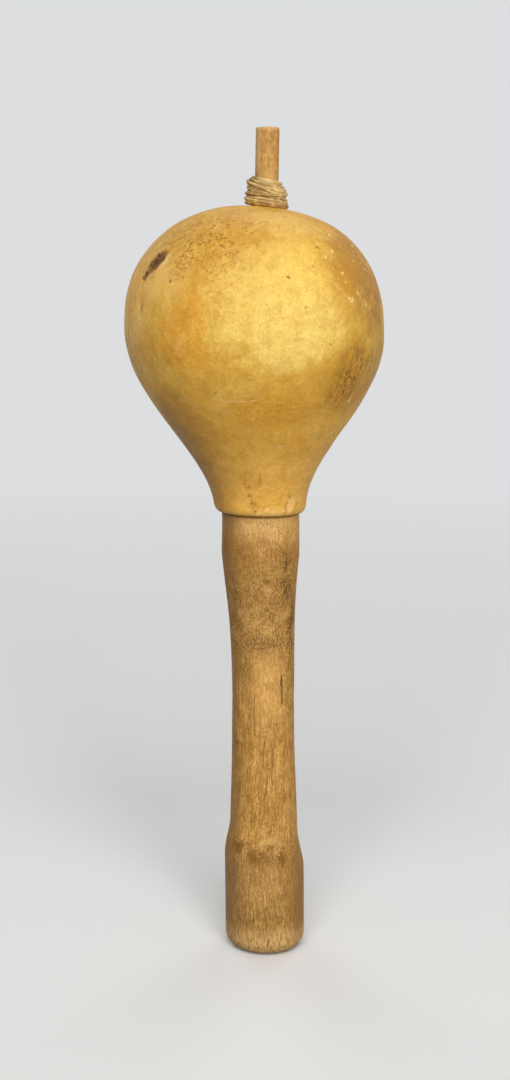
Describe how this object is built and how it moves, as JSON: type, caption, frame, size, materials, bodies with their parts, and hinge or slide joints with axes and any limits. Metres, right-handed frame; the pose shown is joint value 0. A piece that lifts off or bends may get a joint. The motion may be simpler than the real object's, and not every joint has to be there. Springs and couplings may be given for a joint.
{
  "type": "gourd rattle",
  "caption": "Hand rattle: a hollow dried gourd with loose pebbles inside, held on a carved wooden handle by a dowel through its crown and a cord lashing.",
  "frame": {"origin": "on the dowel's axis, level with the narrowest part of the grip", "axes": "+Z along the dowel towards its tip, +X to the right of the front, -Y towards the viewer"},
  "size_m": [0.088, 0.088, 0.288],
  "materials": {
    "gourd_skin": "dried gourd skin, ochre to golden, satin, with brown mottling and scars",
    "handle_wood": "hand-carved hardwood, worn smooth and darkened by handling",
    "spindle_wood": "plain straight-grained dowel, dry",
    "sinew": "twisted sinew cord, slightly waxy",
    "pebble_stone": "worn river pebbles, matt"
  },
  "bodies": {
    "rattle": {"gourd_shell": "gourd_skin", "handle": "handle_wood", "spindle": "spindle_wood", "lashing": "sinew"},
    "pebble_01_body": {"pebble_01": "pebble_stone"},
    "pebble_02_body": {"pebble_02": "pebble_stone"},
    "pebble_03_body": {"pebble_03": "pebble_stone"},
    "pebble_04_body": {"pebble_04": "pebble_stone"},
    "pebble_05_body": {"pebble_05": "pebble_stone"},
    "pebble_06_body": {"pebble_06": "pebble_stone"},
    "pebble_07_body": {"pebble_07": "pebble_stone"},
    "pebble_08_body": {"pebble_08": "pebble_stone"},
    "pebble_09_body": {"pebble_09": "pebble_stone"},
    "pebble_10_body": {"pebble_10": "pebble_stone"},
    "pebble_11_body": {"pebble_11": "pebble_stone"},
    "pebble_12_body": {"pebble_12": "pebble_stone"},
    "pebble_13_body": {"pebble_13": "pebble_stone"},
    "pebble_14_body": {"pebble_14": "pebble_stone"},
    "pebble_15_body": {"pebble_15": "pebble_stone"},
    "pebble_16_body": {"pebble_16": "pebble_stone"},
    "pebble_17_body": {"pebble_17": "pebble_stone"},
    "pebble_18_body": {"pebble_18": "pebble_stone"},
    "pebble_19_body": {"pebble_19": "pebble_stone"},
    "pebble_20_body": {"pebble_20": "pebble_stone"}
  },
  "joints": [
    {"name": "pebble_01_toss", "type": "slide", "parent": "rattle", "child": "pebble_01_body", "axis": [0, 0, 1], "range_m": [0, 0.0843]},
    {"name": "pebble_02_toss", "type": "slide", "parent": "rattle", "child": "pebble_02_body", "axis": [0, 0, 1], "range_m": [0, 0.0842]},
    {"name": "pebble_03_toss", "type": "slide", "parent": "rattle", "child": "pebble_03_body", "axis": [0, 0, 1], "range_m": [0, 0.0861]},
    {"name": "pebble_04_toss", "type": "slide", "parent": "rattle", "child": "pebble_04_body", "axis": [0, 0, 1], "range_m": [0, 0.085]},
    {"name": "pebble_05_toss", "type": "slide", "parent": "rattle", "child": "pebble_05_body", "axis": [0, 0, 1], "range_m": [0, 0.0851]},
    {"name": "pebble_06_toss", "type": "slide", "parent": "rattle", "child": "pebble_06_body", "axis": [0, 0, 1], "range_m": [0, 0.0852]},
    {"name": "pebble_07_toss", "type": "slide", "parent": "rattle", "child": "pebble_07_body", "axis": [0, 0, 1], "range_m": [0, 0.0838]},
    {"name": "pebble_08_toss", "type": "slide", "parent": "rattle", "child": "pebble_08_body", "axis": [0, 0, 1], "range_m": [0, 0.0833]},
    {"name": "pebble_09_toss", "type": "slide", "parent": "rattle", "child": "pebble_09_body", "axis": [0, 0, 1], "range_m": [0, 0.0832]},
    {"name": "pebble_10_toss", "type": "slide", "parent": "rattle", "child": "pebble_10_body", "axis": [0, 0, 1], "range_m": [0, 0.0834]},
    {"name": "pebble_11_toss", "type": "slide", "parent": "rattle", "child": "pebble_11_body", "axis": [0, 0, 1], "range_m": [0, 0.0849]},
    {"name": "pebble_12_toss", "type": "slide", "parent": "rattle", "child": "pebble_12_body", "axis": [0, 0, 1], "range_m": [0, 0.0854]},
    {"name": "pebble_13_toss", "type": "slide", "parent": "rattle", "child": "pebble_13_body", "axis": [0, 0, 1], "range_m": [0, 0.0858]},
    {"name": "pebble_14_toss", "type": "slide", "parent": "rattle", "child": "pebble_14_body", "axis": [0, 0, 1], "range_m": [0, 0.087]},
    {"name": "pebble_15_toss", "type": "slide", "parent": "rattle", "child": "pebble_15_body", "axis": [0, 0, 1], "range_m": [0, 0.0856]},
    {"name": "pebble_16_toss", "type": "slide", "parent": "rattle", "child": "pebble_16_body", "axis": [0, 0, 1], "range_m": [0, 0.0863]},
    {"name": "pebble_17_toss", "type": "slide", "parent": "rattle", "child": "pebble_17_body", "axis": [0, 0, 1], "range_m": [0, 0.085]},
    {"name": "pebble_18_toss", "type": "slide", "parent": "rattle", "child": "pebble_18_body", "axis": [0, 0, 1], "range_m": [0, 0.0833]},
    {"name": "pebble_19_toss", "type": "slide", "parent": "rattle", "child": "pebble_19_body", "axis": [0, 0, 1], "range_m": [0, 0.0827]},
    {"name": "pebble_20_toss", "type": "slide", "parent": "rattle", "child": "pebble_20_body", "axis": [0, 0, 1], "range_m": [0, 0.0809]}
  ]
}
